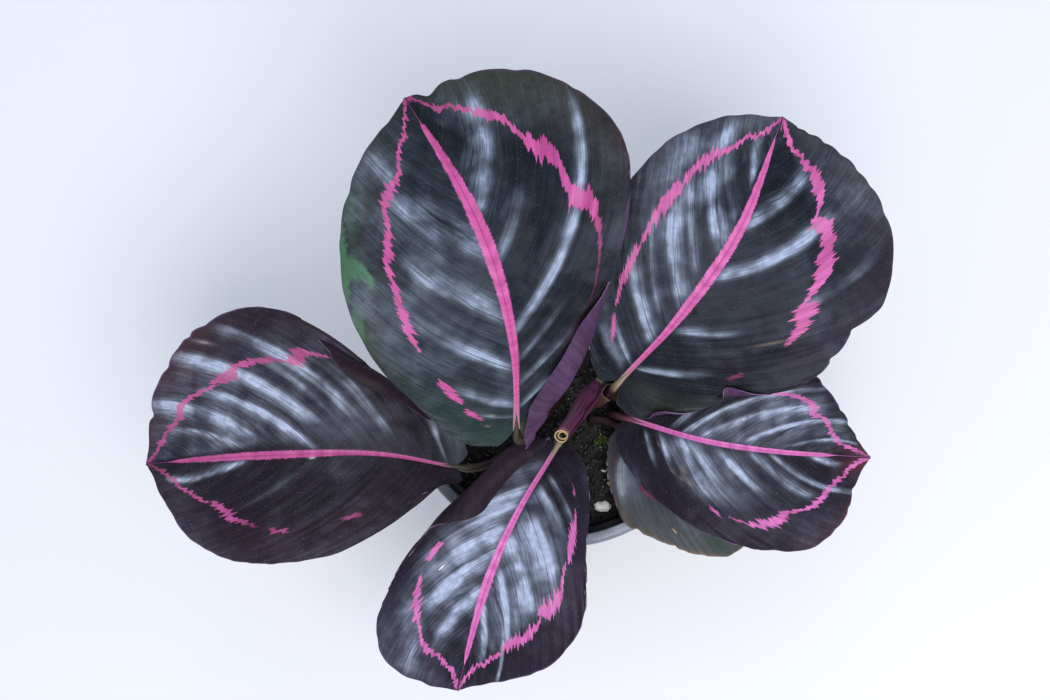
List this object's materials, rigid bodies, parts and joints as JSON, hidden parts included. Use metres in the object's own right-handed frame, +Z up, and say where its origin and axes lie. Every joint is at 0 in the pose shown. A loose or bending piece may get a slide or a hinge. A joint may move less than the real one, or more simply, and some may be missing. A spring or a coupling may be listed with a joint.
{
  "type": "potted calathea",
  "caption": "Small prayer plant with broad, pink-ringed dark leaves and a leaf still rolled, growing in a round black nursery pot filled with soil.",
  "frame": {"origin": "middle of the pot's flat base, on the surface it stands on", "axes": "+Z up through the pot; +X and +Y in the plane of the floor, the tallest leaf leaning towards +Y and the front leaf towards -Y"},
  "size_m": [0.27, 0.2153, 0.1755],
  "materials": {
    "pot_plastic": "black moulded plastic, softly shiny on the rim",
    "potting_soil": "dark crumbly potting mix, moist and matt",
    "leaf_green": "satin dark green leaf with pink midrib and ring, purple underneath",
    "leaf_purple": "satin purple-black leaf with pink midrib and ring, purple underneath",
    "leaf_worn": "dull grey-green old leaf with a brown edge",
    "leaf_rolled": "magenta-purple rolled leaf with pale tan edges",
    "leaf_stem": "dull brown-purple leaf stalk with a paler green joint",
    "perlite": "white crumbly perlite",
    "feed_pellet": "dull ochre slow-release pellet"
  },
  "bodies": {
    "root": {"pot": "pot_plastic", "soil": "potting_soil", "leaf_a": "leaf_green", "leaf_b": "leaf_green", "leaf_c": "leaf_purple", "leaf_d": "leaf_purple", "leaf_e": "leaf_purple", "leaf_f": "leaf_worn", "leaf_rolled": "leaf_rolled", "stem_a": "leaf_stem", "stem_b": "leaf_stem", "stem_c": "leaf_stem", "stem_d": "leaf_stem", "stem_e": "leaf_stem", "stem_f": "leaf_stem", "stem_rolled": "leaf_stem", "perlite_1": "perlite", "perlite_2": "perlite", "pellet_1": "feed_pellet", "pellet_2": "feed_pellet"}
  },
  "joints": []
}
